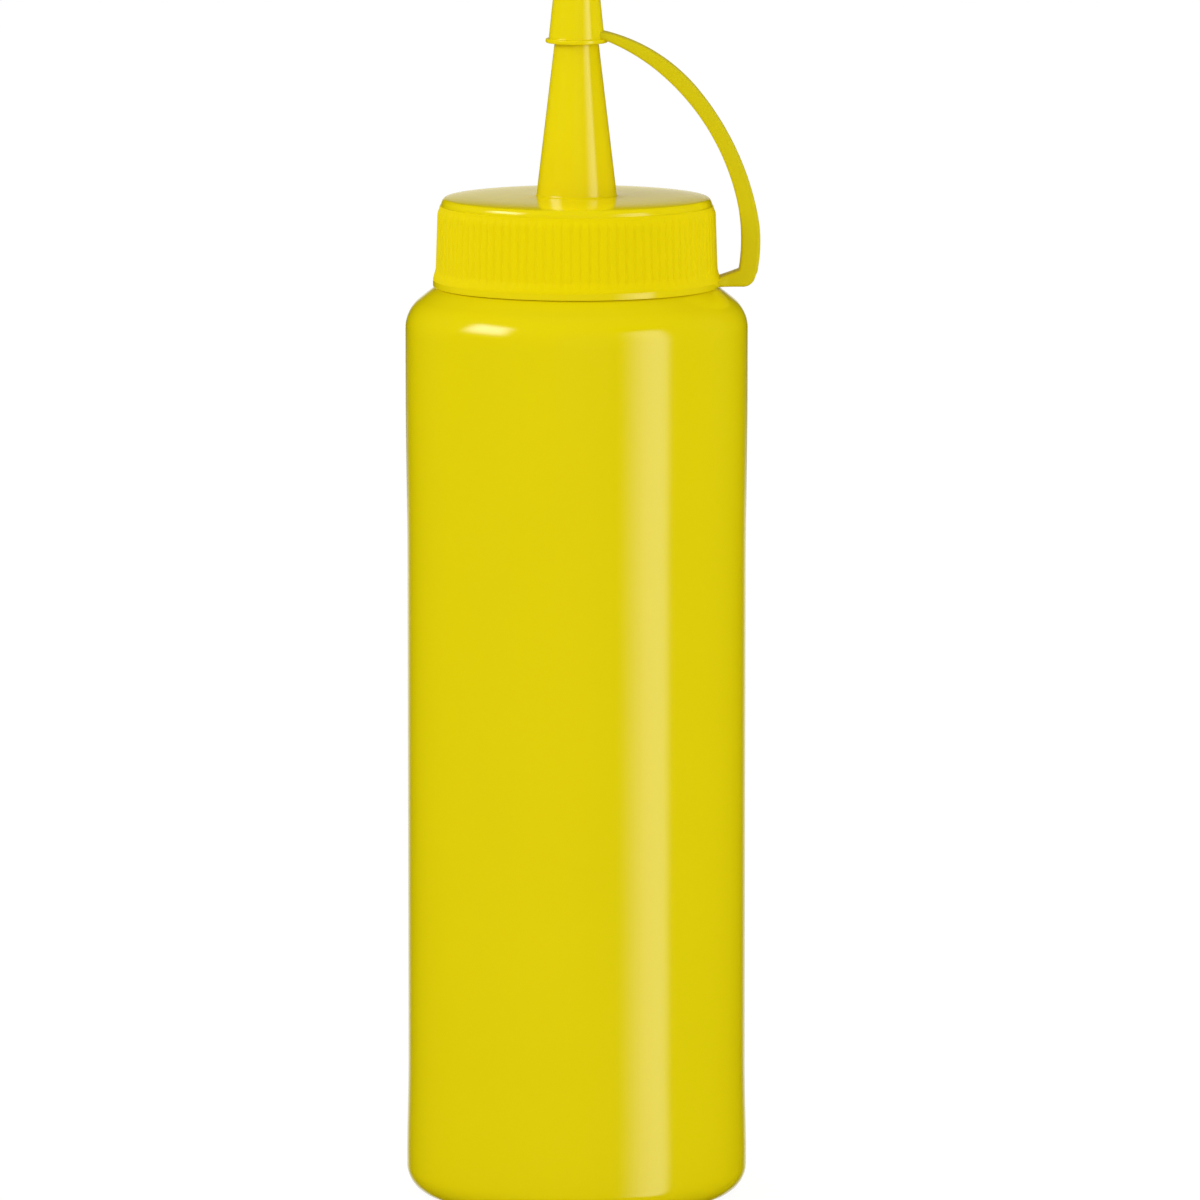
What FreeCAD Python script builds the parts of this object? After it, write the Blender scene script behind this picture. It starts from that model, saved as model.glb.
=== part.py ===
"""Condiment squeeze bottle: a blown bottle, a ribbed screw cap with a cone nozzle, and a tethered tip cap.

Millimetres, +Z up. The origin is on the bottle's axis, in the plane of its standing ring.
The tether lies in the plane y = 0, on the +X side.
"""
import FreeCAD, Part
import math
import os
import Sketcher

DOCUMENT = FreeCAD.newDocument("SqueezeBottle")
TOLERANCE = 1e-4

# Every size that can be set by itself, in millimetres, degrees or a count.
SIZES = {
    # bottle wall: a straight waist that swells very slightly to the foot and to the shoulder
    "body_radius": 27.41,
    "foot_swell": 0.25,
    "shoulder_swell": 0.21,
    "foot_band": 8.0,
    "foot_flare": 12.0,
    "shoulder_band": 14.0,
    "shoulder_flare": 26.0,
    # bottle foot
    "foot_fillet": 4.5,
    "ring_width": 7.66,
    "ring_inner_fillet": 0.9,
    "push_up": 2.4,
    "push_up_flat_radius": 6.0,
    # bottle shoulder and neck
    "shoulder_corner_height": 144.4,
    "shoulder_fillet": 5.9,
    "shoulder_rise": 3.6,
    "ledge_inset": 0.38,
    "ledge_fillet": 0.4,
    "neck_inset": 7.71,
    "neck_rim_chamfer": 0.6,
    # screw cap
    "skirt_gap": 0.3,
    "thread_clearance": 0.3,
    "cap_height": 14.3,
    "deck_thickness": 1.6,
    "skirt_foot_wall": 2.43,
    "skirt_head_wall": 2.02,
    "deck_edge_fillet": 1.2,
    "bead_proud": 0.75,
    "bead_height": 1.9,
    "bead_foot_fillet": 0.45,
    "bead_head_fillet": 0.3,
    # grip ribs
    "rib_count": 96.0,
    "rib_root_width": 1.0,
    "rib_crest_width": 0.45,
    "rib_proud": 0.35,
    "rib_sink": 0.3,
    "rib_stop": 2.0,
    "rib_bevel": 0.5,
    "bevel_gap": 0.02,
    # nozzle
    "nozzle_root_radius": 6.5,
    "nozzle_root_fillet": 0.9,
    "nozzle_length": 40.6,
    "nozzle_end_radius": 1.69,
    "nozzle_end_fillet": 0.3,
    # tip cap
    "socket_clearance": 0.2,
    "socket_roof_gap": 0.25,
    "tip_cap_length": 17.4,
    "tip_cap_overlap": 15.6,
    "tip_cap_foot_wall": 0.76,
    "tip_cap_crown_wall": 0.86,
    "tip_cap_crown_fillet": 0.9,
    "tip_lip_proud": 0.5,
    "tip_lip_height": 0.7,
    "tip_lip_fillet": 0.25,
    # tether: seen from -Y its outline is two chains of arcs, outer and inner
    "tether_width": 4.8,
    "tether_edge_fillet": 0.5,
    "tab_length": 6.44,
    "tether_thickness": 3.07,
    "tether_belly_rise": 7.4,
    "outer_foot_radius": 26.5,
    "outer_belly_radius": 21.0,
    "outer_belly_turn": 11.4,
    "outer_back_turn": 28.0,
    "outer_crown_turn": 37.2,
    "outer_head_rise": 1.82,
    "inner_foot_radius": 31.5,
    "inner_belly_radius": 30.0,
    "inner_belly_turn": 13.2,
    "inner_back_turn": 35.5,
    "inner_crown_turn": 19.7,
    "inner_head_rise": 0.53,
    # tab that ties the tether to the bead
    "tab_sink": 1.0,
    "tab_root_thickness": 1.2,
    "tab_corner_thickness": 2.7,
    "tab_corner_fillet": 2.0,
}


class Size:
    """A number together with the sheet expression that gives it."""

    def __init__(self, text, value):
        self.text = text
        self.value = value

    def __add__(self, other):
        return Size(f"({self.text} + {other.text})", self.value + other.value)

    def __sub__(self, other):
        return Size(f"({self.text} - {other.text})", self.value - other.value)

    def __mul__(self, factor):
        return Size(f"({self.text} * {factor})", self.value * factor)

    def share(self, part, whole):
        """This size times part / whole."""
        text = f"({self.text} * {part.text} / {whole.text})"
        return Size(text, self.value * part.value / whole.value)


ZERO = Size("0", 0.0)


def write_sheet():
    """Fills the spreadsheet, one aliased cell for each size."""
    sheet = DOCUMENT.addObject("Spreadsheet::Sheet", "Sizes")
    for row, (name, value) in enumerate(SIZES.items(), 1):
        sheet.set(f"A{row}", name)
        sheet.set(f"B{row}", str(value))
        sheet.setAlias(f"B{row}", name)
    DOCUMENT.recompute()


def size(name):
    return Size(f"Sizes.{name}", SIZES[name])


# Places worked out from the sizes, all heights above the standing ring.
foot_radius = size("body_radius") + size("foot_swell")
shoulder_radius = size("body_radius") + size("shoulder_swell")
ring_inner_radius = foot_radius - size("ring_width")
ledge_height = size("shoulder_corner_height") + size("shoulder_rise")
cap_bottom = ledge_height + size("skirt_gap")
deck_top = cap_bottom + size("cap_height")
deck_under = deck_top - size("deck_thickness")
bead_top = cap_bottom + size("bead_height")
neck_radius = size("body_radius") - size("neck_inset")
bore_radius = neck_radius + size("thread_clearance")
skirt_foot_radius = bore_radius + size("skirt_foot_wall")
skirt_head_radius = bore_radius + size("skirt_head_wall")
bead_radius = skirt_foot_radius + size("bead_proud")
ledge_radius = bead_radius - size("ledge_inset")
nozzle_top = deck_top + size("nozzle_length")
tip_cap_bottom = nozzle_top - size("tip_cap_overlap")
tip_cap_top = tip_cap_bottom + size("tip_cap_length")
nozzle_taper = size("nozzle_root_radius") - size("nozzle_end_radius")
nozzle_gain = nozzle_taper.share(size("tip_cap_overlap"), size("nozzle_length"))
socket_foot_radius = size("nozzle_end_radius") + nozzle_gain + size("socket_clearance")
socket_head_radius = size("nozzle_end_radius") + size("socket_clearance")
tip_cap_foot_radius = socket_foot_radius + size("tip_cap_foot_wall")
tip_cap_crown_radius = socket_head_radius + size("tip_cap_crown_wall")
tip_lip_radius = tip_cap_foot_radius + size("tip_lip_proud")
belly_height = cap_bottom + size("tether_belly_rise")
tether_reach = bead_radius + size("tab_length")
tether_inner_reach = tether_reach - size("tether_thickness")


# Sketches. Point 1 of a line or arc is its start, 2 its end and 3 an arc's centre.
START, END, CENTRE = 1, 2, 3
HORIZONTAL_AXIS, VERTICAL_AXIS = -1, -2


def new_body(label):
    body = DOCUMENT.addObject("PartDesign::Body", label)
    body.Label = label
    body.Placement = FreeCAD.Placement()
    return body


def origin_plane(body, role):
    return next(feature for feature in body.Origin.OriginFeatures if feature.Role == role)


def new_sketch(body, name):
    """A sketch in the plane y = 0: its x is the object's X and its y the object's Z."""
    sketch = body.newObject("Sketcher::SketchObject", name)
    sketch.AttachmentSupport = [(origin_plane(body, "XZ_Plane"), "")]
    sketch.MapMode = "FlatFace"
    return sketch


def point(x, z):
    return FreeCAD.Vector(x.value, z.value, 0)


def add_line(sketch, start, end):
    return sketch.addGeometry(Part.LineSegment(start, end), False)


def add_arc(sketch, centre, radius, first_angle, last_angle):
    """An arc drawn anticlockwise, its angles in radians."""
    circle = Part.Circle(centre, FreeCAD.Vector(0, 0, 1), radius)
    return sketch.addGeometry(Part.ArcOfCircle(circle, first_angle, last_angle), False)


def relate(sketch, kind, *places):
    sketch.addConstraint(Sketcher.Constraint(kind, *places))


def dimension(sketch, kind, places, length):
    """Adds a dimension that follows the sheet."""
    index = sketch.addConstraint(Sketcher.Constraint(kind, *places, length.value))
    sketch.setExpression(f"Constraints[{index}]", length.text)


def turn_of(sketch, arc, angle):
    """Sets how far an arc turns, in degrees."""
    index = sketch.addConstraint(Sketcher.Constraint("Angle", arc, math.radians(angle.value)))
    sketch.setExpression(f"Constraints[{index}]", f"{angle.text} * 1 deg")


def hold_x(sketch, geometry, end, x):
    if x is ZERO:
        relate(sketch, "PointOnObject", geometry, end, VERTICAL_AXIS)
    else:
        dimension(sketch, "DistanceX", (-1, 1, geometry, end), x)


def hold_z(sketch, geometry, end, z):
    if z is ZERO:
        relate(sketch, "PointOnObject", geometry, end, HORIZONTAL_AXIS)
    else:
        dimension(sketch, "DistanceY", (-1, 1, geometry, end), z)


def hold(sketch, geometry, end, x, z):
    hold_x(sketch, geometry, end, x)
    hold_z(sketch, geometry, end, z)


def add_lines(sketch, corners):
    """Lines from corner to corner, joined end to start, with every inner corner held."""
    lines = [add_line(sketch, point(*a), point(*b)) for a, b in zip(corners, corners[1:])]
    for before, after, corner in zip(lines, lines[1:], corners[1:]):
        relate(sketch, "Coincident", before, END, after, START)
        hold(sketch, after, START, *corner)
    return lines


def add_polygon(sketch, corners):
    """A closed outline of lines with every corner held."""
    lines = add_lines(sketch, corners + corners[:1])
    hold(sketch, lines[0], START, *corners[0])
    relate(sketch, "Coincident", lines[-1], END, lines[0], START)


# Features
def turn_section(body, sketch, name, kind):
    feature = body.newObject(kind, name)
    feature.Profile = sketch
    feature.ReferenceAxis = (sketch, ["V_Axis"])
    feature.Angle = 360
    DOCUMENT.recompute()
    return feature


def revolve(body, sketch, name):
    return turn_section(body, sketch, name, "PartDesign::Revolution")


def groove(body, sketch, name):
    return turn_section(body, sketch, name, "PartDesign::Groove")


def near(a, b):
    return abs(a - b) < TOLERANCE


def rim_names(feature, radius, height):
    """The round edges of one radius about the axis, at one height."""
    names = []
    for number, edge in enumerate(feature.Shape.Edges, 1):
        if edge.Degenerated or not isinstance(edge.Curve, Part.Circle):
            continue
        curve = edge.Curve
        on_axis = near(curve.Center.x, 0) and near(curve.Center.y, 0)
        if on_axis and near(curve.Radius, radius.value) and near(curve.Center.z, height.value):
            names.append(f"Edge{number}")
    return names


def side_edge_names(feature, half_width, reach):
    """Edges in the planes y = +-half_width that go further out than reach."""
    names = []
    for number, edge in enumerate(feature.Shape.Edges, 1):
        box = edge.BoundBox
        on_side = near(box.YMin, box.YMax) and near(abs(box.YMin), half_width.value)
        if on_side and box.XMax > reach.value + TOLERANCE:
            names.append(f"Edge{number}")
    return names


def cross_edge_names(feature, width, height, reach):
    """Straight edges along Y of one width, at one height and further out than reach."""
    names = []
    for number, edge in enumerate(feature.Shape.Edges, 1):
        box = edge.BoundBox
        across = near(box.YLength, width.value) and near(box.ZMin, height.value) and near(box.ZLength, 0)
        if across and box.XMin > reach.value:
            names.append(f"Edge{number}")
    return names


def round_edges(body, feature, names, radius, name):
    fillet = body.newObject("PartDesign::Fillet", name)
    fillet.Base = (feature, names)
    fillet.Radius = radius.value
    fillet.setExpression("Radius", radius.text)
    DOCUMENT.recompute()
    return fillet


def round_rims(body, feature, rims):
    """Rounds one rim after another; each is a feature name, radius, height and fillet size."""
    for name, radius, height, fillet in rims:
        feature = round_edges(body, feature, rim_names(feature, radius, height), size(fillet), name)
    return feature


def bevel_edges(body, feature, names, setback, name):
    chamfer = body.newObject("PartDesign::Chamfer", name)
    chamfer.Base = (feature, names)
    chamfer.Size = setback.value
    chamfer.setExpression("Size", setback.text)
    DOCUMENT.recompute()
    return chamfer


# Bottle
def draw_bottle(sketch):
    """Half section: pushed-up underside, ring, flared wall, cone shoulder, ledge and neck."""
    body = size("body_radius")
    push_up = size("push_up")
    flat = size("push_up_flat_radius")
    corner = size("shoulder_corner_height")

    slope_width = ring_inner_radius.value - flat.value
    dome_radius = (slope_width ** 2 + push_up.value ** 2) / (2 * push_up.value)
    dome_centre = FreeCAD.Vector(flat.value, push_up.value - dome_radius, 0)
    ring_angle = math.acos(slope_width / dome_radius)
    dome = add_arc(sketch, dome_centre, dome_radius, ring_angle, math.pi / 2)
    hold_x(sketch, dome, CENTRE, flat)
    hold(sketch, dome, START, ring_inner_radius, ZERO)
    hold(sketch, dome, END, flat, push_up)

    foot_band = size("foot_band")
    shoulder_band = corner - size("shoulder_band")
    outline = add_lines(sketch, [
        (ring_inner_radius, ZERO),
        (foot_radius, ZERO),
        (foot_radius, foot_band),
        (body, foot_band + size("foot_flare")),
        (body, shoulder_band - size("shoulder_flare")),
        (shoulder_radius, shoulder_band),
        (shoulder_radius, corner),
        (ledge_radius, ledge_height),
        (neck_radius, ledge_height),
        (neck_radius, deck_under),
        (ZERO, deck_under),
        (ZERO, push_up),
        (flat, push_up),
    ])
    relate(sketch, "Coincident", dome, START, outline[0], START)
    relate(sketch, "Coincident", dome, END, outline[-1], END)


def build_bottle():
    body = new_body("bottle")
    sketch = new_sketch(body, "BottleSection")
    draw_bottle(sketch)
    solid = revolve(body, sketch, "BottleTurn")
    solid = round_rims(body, solid, [
        ("FootRound", foot_radius, ZERO, "foot_fillet"),
        ("ShoulderRound", shoulder_radius, size("shoulder_corner_height"), "shoulder_fillet"),
        ("LedgeRound", ledge_radius, ledge_height, "ledge_fillet"),
        ("RingRound", ring_inner_radius, ZERO, "ring_inner_fillet"),
    ])
    neck_rim = rim_names(solid, neck_radius, deck_under)
    bevel_edges(body, solid, neck_rim, size("neck_rim_chamfer"), "NeckRimChamfer")
    return body


# Screw cap
def draw_rib(sketch):
    """Cross-section of one grip rib on the +X side, a little sunk in the skirt."""
    inner = skirt_foot_radius - size("rib_sink")
    crest = skirt_foot_radius + size("rib_proud")
    half_root = size("rib_root_width") * 0.5
    half_crest = size("rib_crest_width") * 0.5
    corners = [
        FreeCAD.Vector(inner.value, -half_root.value, 0),
        FreeCAD.Vector(crest.value, -half_crest.value, 0),
        FreeCAD.Vector(crest.value, half_crest.value, 0),
        FreeCAD.Vector(inner.value, half_root.value, 0),
    ]
    lines = [add_line(sketch, a, b) for a, b in zip(corners, corners[1:] + corners[:1])]
    for before, after in zip(lines, lines[1:] + lines[:1]):
        relate(sketch, "Coincident", before, END, after, START)
    crest_line, root_line = lines[1], lines[3]
    for line, x, width in ((crest_line, crest, "rib_crest_width"), (root_line, inner, "rib_root_width")):
        hold_x(sketch, line, START, x)
        relate(sketch, "Symmetric", line, START, line, END, HORIZONTAL_AXIS)
    dimension(sketch, "Distance", (crest_line,), size("rib_crest_width"))
    dimension(sketch, "Distance", (root_line,), size("rib_root_width"))


def add_ribs(body):
    """Grip ribs that lean in with the skirt, and a bevel that slopes off all their heads."""
    sketch = body.newObject("Sketcher::SketchObject", "RibSection")
    sketch.AttachmentSupport = [(origin_plane(body, "XY_Plane"), "")]
    sketch.MapMode = "FlatFace"
    foot = bead_top - size("rib_sink")
    sketch.AttachmentOffset = FreeCAD.Placement(FreeCAD.Vector(0, 0, foot.value), FreeCAD.Rotation())
    sketch.setExpression("AttachmentOffset.Base.z", foot.text)
    draw_rib(sketch)

    lean = skirt_foot_radius - skirt_head_radius
    rise = deck_top - bead_top
    rib_top = deck_top - size("rib_stop")
    length = rib_top - foot
    rib = body.newObject("PartDesign::Pad", "Rib")
    rib.Profile = sketch
    rib.UseCustomVector = True
    rib.Direction = FreeCAD.Vector(-lean.value, 0, rise.value)
    rib.setExpression("Direction.x", f"-{lean.text}")
    rib.setExpression("Direction.z", rise.text)
    rib.AlongSketchNormal = True
    rib.Length = length.value
    rib.setExpression("Length", length.text)
    DOCUMENT.recompute()

    ribs = body.newObject("PartDesign::PolarPattern", "Ribs")
    ribs.Originals = [rib]
    ribs.Axis = (origin_plane(body, "Z_Axis"), [""])
    ribs.Angle = 360
    ribs.Occurrences = int(SIZES["rib_count"])
    ribs.setExpression("Occurrences", "Sizes.rib_count")
    body.Tip = ribs
    DOCUMENT.recompute()

    bevel = new_sketch(body, "RibBevelSection")
    near_skirt = skirt_head_radius + lean.share(size("rib_stop"), rise) + size("bevel_gap")
    beyond = near_skirt + size("rib_proud") * 2
    add_polygon(bevel, [
        (near_skirt, rib_top),
        (beyond, rib_top - size("rib_bevel") * 2),
        (beyond, rib_top + size("rib_bevel")),
        (near_skirt, rib_top + size("rib_bevel")),
    ])
    groove(body, bevel, "RibBevel")


def build_screw_cap():
    body = new_body("closure")
    sketch = new_sketch(body, "CapSection")
    add_polygon(sketch, [
        (bore_radius, cap_bottom),
        (bead_radius, cap_bottom),
        (bead_radius, bead_top),
        (skirt_foot_radius, bead_top),
        (skirt_head_radius, deck_top),
        (size("nozzle_root_radius"), deck_top),
        (size("nozzle_end_radius"), nozzle_top),
        (ZERO, nozzle_top),
        (ZERO, deck_under),
        (bore_radius, deck_under),
    ])
    solid = revolve(body, sketch, "CapTurn")
    round_rims(body, solid, [
        ("BeadFootRound", bead_radius, cap_bottom, "bead_foot_fillet"),
        ("BeadHeadRound", bead_radius, bead_top, "bead_head_fillet"),
        ("DeckEdgeRound", skirt_head_radius, deck_top, "deck_edge_fillet"),
        ("NozzleRootRound", size("nozzle_root_radius"), deck_top, "nozzle_root_fillet"),
        ("NozzleEndRound", size("nozzle_end_radius"), nozzle_top, "nozzle_end_fillet"),
    ])
    add_ribs(body)
    return body


# Tip cap with its tether
def arc_chain(sketch, x, z, first_radius, turns, last):
    """Three tangent arcs that start upright at x, z, bend to the axis and end at the point last.

    The first radius and the three turns are given; the other two radii follow from them."""
    angles = [0.0]
    for turn in turns:
        angles.append(angles[-1] + math.radians(turn.value))
    along_x = [math.cos(after) - math.cos(before) for before, after in zip(angles, angles[1:])]
    along_z = [math.sin(after) - math.sin(before) for before, after in zip(angles, angles[1:])]
    left_x = last[0].value - x.value - first_radius.value * along_x[0]
    left_z = last[1].value - z.value - first_radius.value * along_z[0]
    whole = along_x[1] * along_z[2] - along_x[2] * along_z[1]
    second_radius = (left_x * along_z[2] - left_z * along_x[2]) / whole
    third_radius = (left_z * along_x[1] - left_x * along_z[1]) / whole

    arcs = []
    start = point(x, z)
    for number, radius in enumerate((first_radius.value, second_radius, third_radius)):
        before, after = angles[number:number + 2]
        centre = start - FreeCAD.Vector(math.cos(before), math.sin(before), 0) * radius
        arcs.append(add_arc(sketch, centre, radius, before, after))
        turn_of(sketch, arcs[-1], turns[number])
        start = centre + FreeCAD.Vector(math.cos(after), math.sin(after), 0) * radius
    for before, after in zip(arcs, arcs[1:]):
        relate(sketch, "Tangent", before, END, after, START)
    dimension(sketch, "Radius", (arcs[0],), first_radius)
    hold(sketch, arcs[0], START, x, z)
    hold_z(sketch, arcs[0], CENTRE, z)
    hold(sketch, arcs[-1], END, *last)
    return arcs


def arc_below(sketch, x, radius, low_z):
    """An arc that ends upright at x and belly height and starts at low_z; gives its start too."""
    centre = FreeCAD.Vector(x.value - radius.value, belly_height.value, 0)
    low_angle = -math.asin((belly_height.value - low_z.value) / radius.value)
    arc = add_arc(sketch, centre, radius.value, low_angle, 0)
    dimension(sketch, "Radius", (arc,), radius)
    start = centre + FreeCAD.Vector(math.cos(low_angle), math.sin(low_angle), 0) * radius.value
    return arc, start


def draw_tether(sketch):
    """Side outline of the tether: tab, square corner, upright belly and the arch to the tip cap."""
    outer_belly = size("outer_belly_radius")
    outer_turns = [size("outer_belly_turn"), size("outer_back_turn"), size("outer_crown_turn")]
    inner_belly = size("inner_belly_radius")
    inner_turns = [size("inner_belly_turn"), size("inner_back_turn"), size("inner_crown_turn")]
    outer_head = tip_cap_bottom + size("outer_head_rise")
    inner_head = tip_cap_bottom + size("inner_head_rise")
    root_x = bead_radius - size("tab_sink")
    root_top = cap_bottom + size("tab_root_thickness")
    crook_height = cap_bottom + size("tab_corner_thickness")

    outer_last = (tip_cap_foot_radius, outer_head)
    inner_last = (tip_cap_foot_radius, inner_head)
    outer = arc_chain(sketch, tether_reach, belly_height, outer_belly, outer_turns, outer_last)
    inner = arc_chain(sketch, tether_inner_reach, belly_height, inner_belly, inner_turns, inner_last)

    head_top = add_line(sketch, point(*outer_last), point(ZERO, outer_head))
    head_side = add_line(sketch, point(ZERO, outer_head), point(ZERO, inner_head))
    head_under = add_line(sketch, point(ZERO, inner_head), point(*inner_last))
    relate(sketch, "Coincident", outer[-1], END, head_top, START)
    relate(sketch, "Coincident", head_top, END, head_side, START)
    relate(sketch, "Coincident", head_side, END, head_under, START)
    relate(sketch, "Coincident", head_under, END, inner[-1], END)
    relate(sketch, "Horizontal", head_top)
    relate(sketch, "Horizontal", head_under)
    relate(sketch, "PointOnObject", head_side, START, VERTICAL_AXIS)
    relate(sketch, "PointOnObject", head_side, END, VERTICAL_AXIS)

    outer_foot, heel = arc_below(sketch, tether_reach, size("outer_foot_radius"), cap_bottom)
    inner_foot, crook = arc_below(
        sketch, tether_inner_reach, size("inner_foot_radius"), crook_height)
    relate(sketch, "Tangent", outer_foot, END, outer[0], START)
    relate(sketch, "Tangent", inner_foot, END, inner[0], START)
    tab_under = add_line(sketch, point(root_x, cap_bottom), heel)
    tab_root = add_line(sketch, point(root_x, cap_bottom), point(root_x, root_top))
    tab_top = add_line(sketch, point(root_x, root_top), crook)
    relate(sketch, "Coincident", tab_under, START, tab_root, START)
    relate(sketch, "Coincident", tab_under, END, outer_foot, START)
    relate(sketch, "Coincident", tab_root, END, tab_top, START)
    relate(sketch, "Coincident", tab_top, END, inner_foot, START)
    relate(sketch, "Horizontal", tab_under)
    hold(sketch, tab_root, START, root_x, cap_bottom)
    hold(sketch, tab_root, END, root_x, root_top)
    hold_z(sketch, inner_foot, START, crook_height)


def cut_socket(body):
    """The cone that takes the nozzle, blind at the top."""
    roof = nozzle_top + size("socket_roof_gap")
    sketch = new_sketch(body, "SocketSection")
    add_polygon(sketch, [
        (ZERO, tip_cap_bottom),
        (socket_foot_radius, tip_cap_bottom),
        (socket_head_radius, nozzle_top),
        (socket_head_radius, roof),
        (ZERO, roof),
    ])
    groove(body, sketch, "Socket")


def build_tip_cap():
    body = new_body("tethered_tip_cap")
    outline = new_sketch(body, "TetherOutline")
    draw_tether(outline)
    width = size("tether_width")
    tether = body.newObject("PartDesign::Pad", "Tether")
    tether.Profile = outline
    tether.Midplane = True
    tether.Length = width.value
    tether.setExpression("Length", width.text)
    DOCUMENT.recompute()
    corner = cross_edge_names(tether, width, cap_bottom, bead_radius)
    solid = round_edges(body, tether, corner, size("tab_corner_fillet"), "TabCornerRound")
    sides = side_edge_names(solid, width * 0.5, tip_cap_foot_radius)
    solid = round_edges(body, solid, sides, size("tether_edge_fillet"), "TetherSideRounds")

    section = new_sketch(body, "TipCapSection")
    lip_top = tip_cap_bottom + size("tip_lip_height")
    add_polygon(section, [
        (ZERO, tip_cap_bottom),
        (tip_lip_radius, tip_cap_bottom),
        (tip_lip_radius, lip_top),
        (tip_cap_foot_radius, lip_top),
        (tip_cap_crown_radius, tip_cap_top),
        (ZERO, tip_cap_top),
    ])
    solid = revolve(body, section, "TipCapTurn")
    round_rims(body, solid, [
        ("CrownRound", tip_cap_crown_radius, tip_cap_top, "tip_cap_crown_fillet"),
        ("LipRound", tip_lip_radius, tip_cap_bottom, "tip_lip_fillet"),
    ])
    cut_socket(body)
    return body


def build_closure():
    """Screw cap, tether and tip cap as one moulding, joined where the tab sinks in the bead."""
    body = build_screw_cap()
    moulding = body.newObject("PartDesign::Boolean", "Moulding")
    moulding.Group = [build_tip_cap()]
    moulding.Type = "Fuse"
    body.Tip = moulding
    DOCUMENT.recompute()
    return body


def main():
    write_sheet()
    bodies = [build_bottle(), build_closure()]
    for item in DOCUMENT.Objects:
        if {"Invalid", "Error"} & set(item.State):
            raise RuntimeError(f"{item.Name} failed: {item.State}")
    os.makedirs("parts", exist_ok=True)
    for body in bodies:
        shape = body.Shape
        if shape.isNull() or not shape.isValid() or len(shape.Solids) != 1:
            raise RuntimeError(f"{body.Label} is not one valid solid")
        shape.exportStep(f"parts/{body.Label}.step")


main()
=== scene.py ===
"""Looks of the condiment squeeze bottle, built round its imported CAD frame.

Lengths of the bottle and its closure are in millimetres and are scaled to metres when a mesh is made.
Lengths of the studio and the camera are in metres.
"""
import math

import bpy
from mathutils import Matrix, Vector


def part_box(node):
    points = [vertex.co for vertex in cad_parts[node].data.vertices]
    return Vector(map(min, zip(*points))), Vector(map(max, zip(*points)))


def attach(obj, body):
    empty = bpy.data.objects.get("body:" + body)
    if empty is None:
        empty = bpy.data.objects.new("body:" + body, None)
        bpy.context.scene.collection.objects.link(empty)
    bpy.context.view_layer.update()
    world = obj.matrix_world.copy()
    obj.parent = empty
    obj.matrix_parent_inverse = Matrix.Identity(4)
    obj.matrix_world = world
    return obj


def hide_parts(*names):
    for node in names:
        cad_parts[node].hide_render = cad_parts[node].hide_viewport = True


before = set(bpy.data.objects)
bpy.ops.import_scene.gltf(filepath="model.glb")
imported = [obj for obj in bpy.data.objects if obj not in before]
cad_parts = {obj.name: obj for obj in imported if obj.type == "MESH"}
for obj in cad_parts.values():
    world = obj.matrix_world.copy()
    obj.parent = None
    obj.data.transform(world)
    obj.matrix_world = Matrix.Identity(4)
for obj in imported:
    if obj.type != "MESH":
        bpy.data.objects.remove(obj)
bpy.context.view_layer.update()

MM = 0.001
SHARP_ANGLE = 35
CLOSURE_LOW, CLOSURE_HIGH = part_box("closure")
BOTTLE_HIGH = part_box("bottle")[1]

# Heights and reaches that the CAD nodes give
CAP_BOTTOM = CLOSURE_LOW[2] / MM
TIP_TOP = CLOSURE_HIGH[2] / MM
TETHER_REACH = CLOSURE_HIGH[0] / MM
BEAD_RADIUS = -CLOSURE_LOW[0] / MM
NECK_TOP = BOTTLE_HIGH[2] / MM
FOOT_RADIUS = BOTTLE_HIGH[0] / MM

# Bottle
BOTTLE_COLUMNS = 288
FOOT_SWELL = 0.25
SHOULDER_SWELL = 0.21
BODY_RADIUS = FOOT_RADIUS - FOOT_SWELL
SHOULDER_RADIUS = BODY_RADIUS + SHOULDER_SWELL
PUSH_UP_HEIGHT = 2.4
PUSH_UP_FLAT = 6.0
PUSH_UP_RADIUS = 42.03
PUSH_UP_ANGLES = (90, 71.2)
STANDING_RADIUS = FOOT_RADIUS - 7.66
STANDING_ROUND = 0.9
FOOT_ROUND = 4.5
WALL_BOTTOM = 8.0
WALL_STEPS = 100
FOOT_SWELL_FADE = (6, 22)
LEDGE_HEIGHT = CAP_BOTTOM - 0.06
LEDGE_RADIUS = BEAD_RADIUS - 0.38
LEDGE_ROUND = 0.4
SHOULDER_CORNER = CAP_BOTTOM - 3.9
SHOULDER_ROUND = 5.9
SHOULDER_SWELL_RISE = (SHOULDER_CORNER - 40, SHOULDER_CORNER - 14)
WALL_TOP = SHOULDER_CORNER - 5.0
NECK_RADIUS = BODY_RADIUS - 7.71
NECK_CHAMFER = 0.6

# Skirt and bead of the screw cap
BORE_RADIUS = NECK_RADIUS + 0.3
BORE_CHAMFER = 0.3
SKIRT_FOOT = BEAD_RADIUS - 0.75
SKIRT_HEAD = SKIRT_FOOT - 0.41
BEAD_TOP = CAP_BOTTOM + 1.9
BEAD_FOOT_ROUND = 0.12
BEAD_SIDE = 1.3
BEAD_FLARE_ROUND = 1.8
BEAD_FOOT_WIDTH = 1.2
FLARE_TOP = CAP_BOTTOM + 2.75
FLARE_INSET = 0.03
DECK_TOP = CAP_BOTTOM + 14.3
RIB_COUNT = 96
FINE_COLUMNS = RIB_COUNT * 12
COARSE_COLUMNS = RIB_COUNT * 2
RIB_PROUD = 0.35
RIB_HEAD = (DECK_TOP - 2.7, DECK_TOP - 1.25)
RIB_FOOT = (CAP_BOTTOM + 1.8, CAP_BOTTOM + 2.7)
VALLEY_DEPTH = 0.15
VALLEY_HALF_WIDTH = 0.36
SKIRT_STEPS = 32
SKIRT_START = 0.25

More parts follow.
